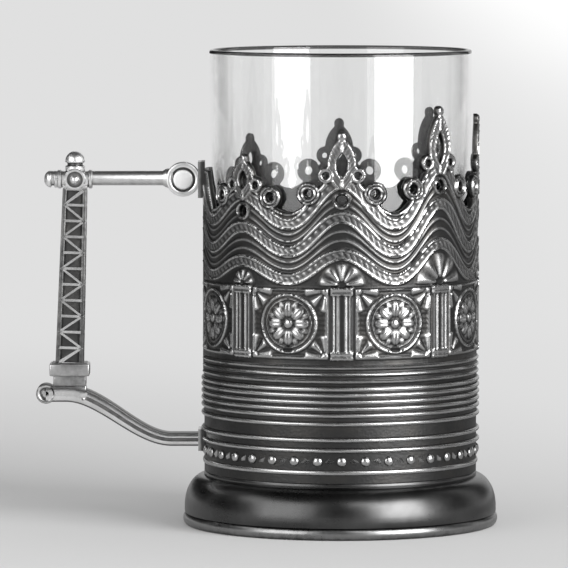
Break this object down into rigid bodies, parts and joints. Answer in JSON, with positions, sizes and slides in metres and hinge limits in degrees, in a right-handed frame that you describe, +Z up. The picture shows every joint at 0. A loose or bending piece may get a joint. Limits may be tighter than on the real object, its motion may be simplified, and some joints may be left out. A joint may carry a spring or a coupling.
{
  "type": "podstakannik tea glass holder",
  "caption": "Metal holder for a tea glass: cylindrical casing with reeding and a pierced crest, domed foot, lattice-post handle, and the lift-out glass.",
  "frame": {"origin": "centre of the foot's underside, on the casing's axis", "axes": "+Z up along the casing's axis, +X away from the handle, -Y towards a viewer who sees the handle on the left"},
  "size_m": [0.1148, 0.0782, 0.1181],
  "materials": {
    "dark_metal": "smooth spun brass, silver plated and oxidised dark, rubbed to a soft shine",
    "antiqued_metal": "stamped brass, silver plated and oxidised black in the hollows, rubbed bright on the raised lines",
    "polished_metal": "cast brass, silver plated and polished, with a dark tone left in the hollows",
    "clear_glass": "clear smooth thin-walled glass"
  },
  "bodies": {
    "holder": {"foot": "dark_metal", "foot_wire": "dark_metal", "floor_disc": "dark_metal", "casing": "antiqued_metal", "upper_lug": "antiqued_metal", "lower_lug": "antiqued_metal", "cross_arm": "polished_metal", "eye_rivet": "polished_metal", "arm_cap": "polished_metal", "mast_hub": "polished_metal", "hub_studs": "polished_metal", "mast": "antiqued_metal", "mast_finial": "antiqued_metal", "mast_collar": "polished_metal", "lower_bracket": "polished_metal"},
    "glass": {"tea_glass": "clear_glass"}
  },
  "joints": [
    {"name": "glass_lift", "type": "slide", "parent": "holder", "child": "glass", "axis": [0, 0, 1], "range_m": [0, 0.1]}
  ]
}
